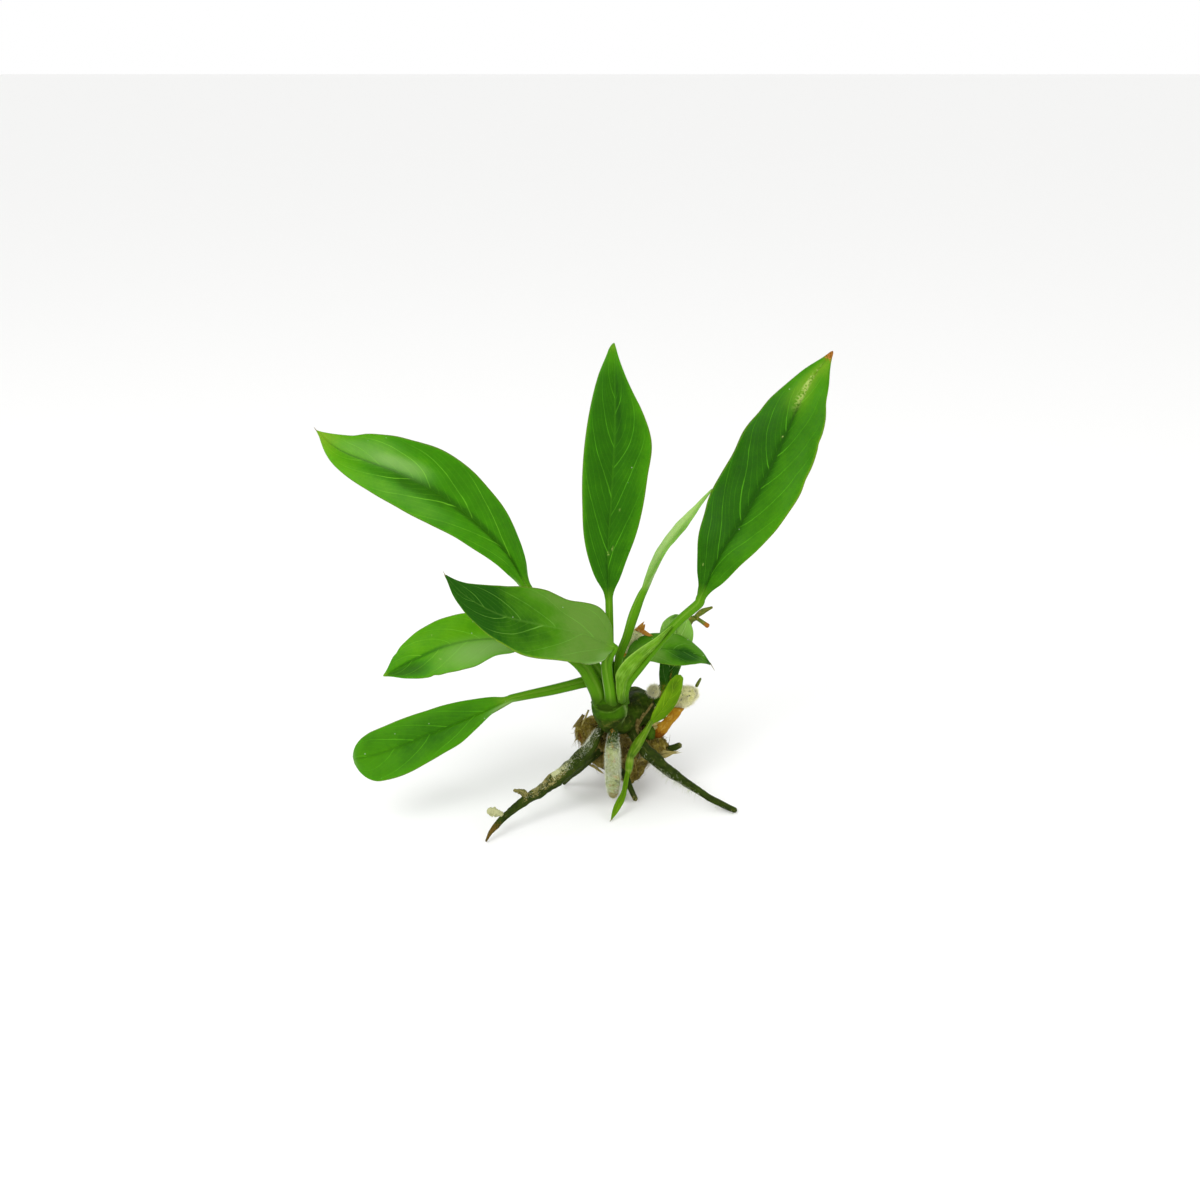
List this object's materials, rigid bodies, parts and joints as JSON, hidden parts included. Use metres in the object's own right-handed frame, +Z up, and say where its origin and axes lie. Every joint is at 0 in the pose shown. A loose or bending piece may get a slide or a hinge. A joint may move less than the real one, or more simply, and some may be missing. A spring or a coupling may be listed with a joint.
{
  "type": "anubias plant",
  "caption": "Narrow-leaved aquarium plant with bare roots: long pointed leaves on stalks from a creeping rhizome, standing on splayed root tips.",
  "frame": {"origin": "middle of the plant's footprint box, on the surface that its root tips stand on", "axes": "+X to the viewer's right in the picture, +Y away from the viewer along the rhizome, +Z up"},
  "size_m": [0.1834, 0.087, 0.1696],
  "materials": {
    "bright_leaf": "waxy yellow-green leaf skin, satin",
    "dark_leaf": "waxy deep green leaf skin, satin",
    "grey_leaf": "smooth dark green leaf skin with a grey sheen",
    "pale_leaf": "pale green young leaf skin, satin",
    "leaf_stalk": "smooth green stalk skin, satin",
    "leaf_sheath": "thin pale green sheath, satin",
    "young_shoot": "soft yellow-green shoot skin, satin",
    "rhizome_skin": "ringed dark green skin, semi-matt",
    "root_skin": "dark green-brown root skin with pale fuzz",
    "root_hairs": "dense fine white-grey root hairs over a green core",
    "dry_stalk": "dry orange-brown stalk fibre, matt",
    "dead_fibre": "tangled dead brown fibre, matt"
  },
  "bodies": {
    "root": {"back_left_root": "root_skin", "back_right_root": "root_skin", "centre_leaf_blade": "dark_leaf", "centre_leaf_stalk": "leaf_stalk", "dry_twig": "dry_stalk", "dry_twig_lower_tip": "dry_stalk", "dry_twig_upper_tip": "dry_stalk", "fibre_clump": "dead_fibre", "front_leaf_blade": "grey_leaf", "front_leaf_stalk": "leaf_stalk", "front_root": "root_hairs", "fuzzy_back_root": "root_hairs", "fuzzy_right_root": "root_hairs", "fuzzy_root_point": "dry_stalk", "left_branch_root": "root_skin", "left_leaf_blade": "bright_leaf", "left_leaf_stalk": "leaf_stalk", "left_root": "root_skin", "left_root_nub": "root_skin", "left_root_spur": "root_skin", "low_left_leaf_blade": "dark_leaf", "low_left_leaf_stalk": "leaf_stalk", "narrow_leaf_blade": "pale_leaf", "narrow_leaf_stalk": "leaf_stalk", "old_back_stalk": "dry_stalk", "old_cut_stalk": "dry_stalk", "rhizome": "rhizome_skin", "right_leaf_blade": "dark_leaf", "right_leaf_sheath": "leaf_sheath", "right_leaf_stalk": "leaf_stalk", "right_root": "root_skin", "right_stub_root": "root_skin", "shoot_lower_leaf": "young_shoot", "shoot_node": "young_shoot", "shoot_stem": "young_shoot", "shoot_upper_leaf": "young_shoot", "short_root": "root_skin", "small_back_leaf_blade": "pale_leaf", "small_back_leaf_stalk": "leaf_stalk", "small_right_leaf_blade": "grey_leaf", "small_right_leaf_stalk": "leaf_stalk", "upper_left_leaf_blade": "bright_leaf", "upper_left_leaf_stalk": "leaf_stalk"}
  },
  "joints": []
}
